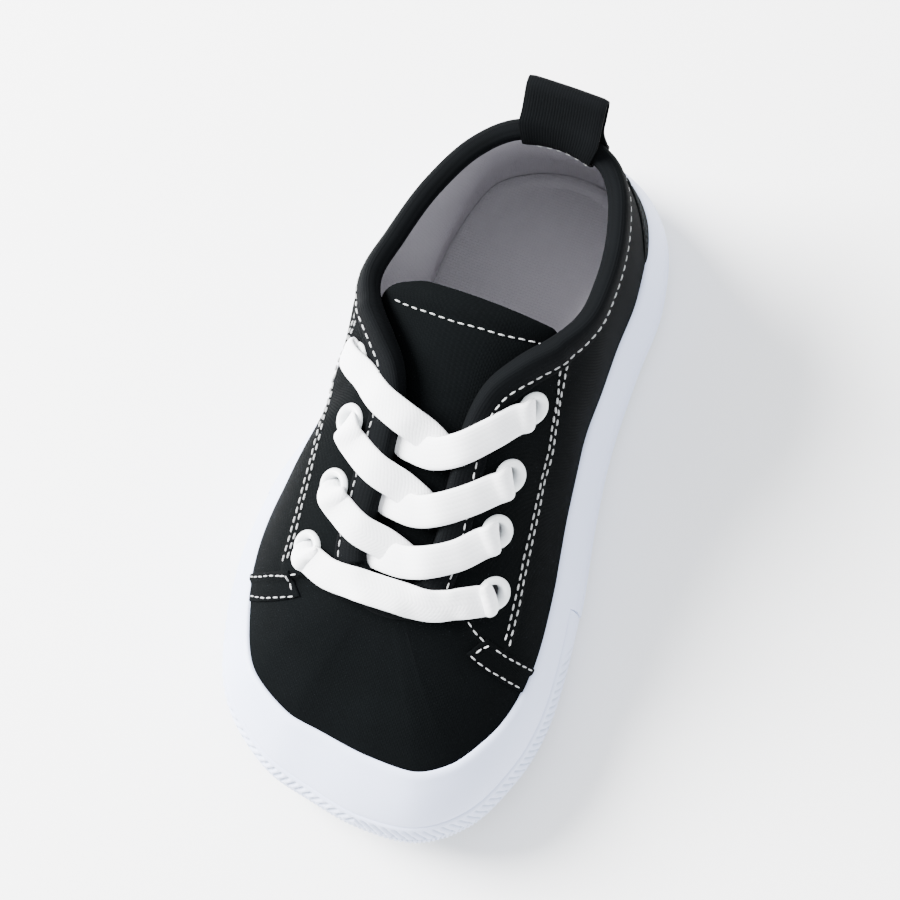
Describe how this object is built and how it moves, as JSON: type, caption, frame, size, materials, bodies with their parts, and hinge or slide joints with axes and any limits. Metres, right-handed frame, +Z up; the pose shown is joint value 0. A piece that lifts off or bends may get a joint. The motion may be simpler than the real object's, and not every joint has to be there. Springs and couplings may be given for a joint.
{
  "type": "toddler canvas lace-up shoe",
  "caption": "Right shoe of a toddler's low canvas lace-up pair: black cloth upper, white cup sole with a ribbed toe bumper, flat white laces and a heel pull loop.",
  "frame": {"origin": "on the floor, under the middle of the shoe's bounding box", "axes": "+Y from the toe to the heel along the shoe, +X to the inner side of the foot, +Z up"},
  "size_m": [0.0748, 0.154, 0.0673],
  "materials": {
    "outsole": "matte pale grey",
    "cup_sole": "smooth satin white",
    "toe_bumper": "ribbed satin white",
    "insole": "grey knitted lining cloth",
    "upper": "black canvas, grey lining inside",
    "tongue": "black canvas",
    "collar_binding": "black folded tape",
    "heel_counter": "black canvas",
    "side_patches": "black canvas, white stitches",
    "pull_loop": "black woven tape",
    "eyelets": "white enamel",
    "laces": "white flat cotton lace"
  },
  "bodies": {
    "root": {"outsole": "outsole", "cup_sole": "cup_sole", "toe_bumper": "toe_bumper", "insole": "insole", "upper": "upper", "tongue": "tongue", "collar_binding": "collar_binding", "heel_counter": "heel_counter", "side_patch_outer": "side_patches", "side_patch_inner": "side_patches", "pull_loop": "pull_loop", "eyelet_outer_1": "eyelets", "eyelet_outer_2": "eyelets", "eyelet_outer_3": "eyelets", "eyelet_outer_4": "eyelets", "eyelet_inner_1": "eyelets", "eyelet_inner_2": "eyelets", "eyelet_inner_3": "eyelets", "eyelet_inner_4": "eyelets", "lace_bar_1": "laces", "lace_crossing_2": "laces", "lace_crossing_3": "laces", "lace_crossing_4": "laces"}
  },
  "joints": []
}
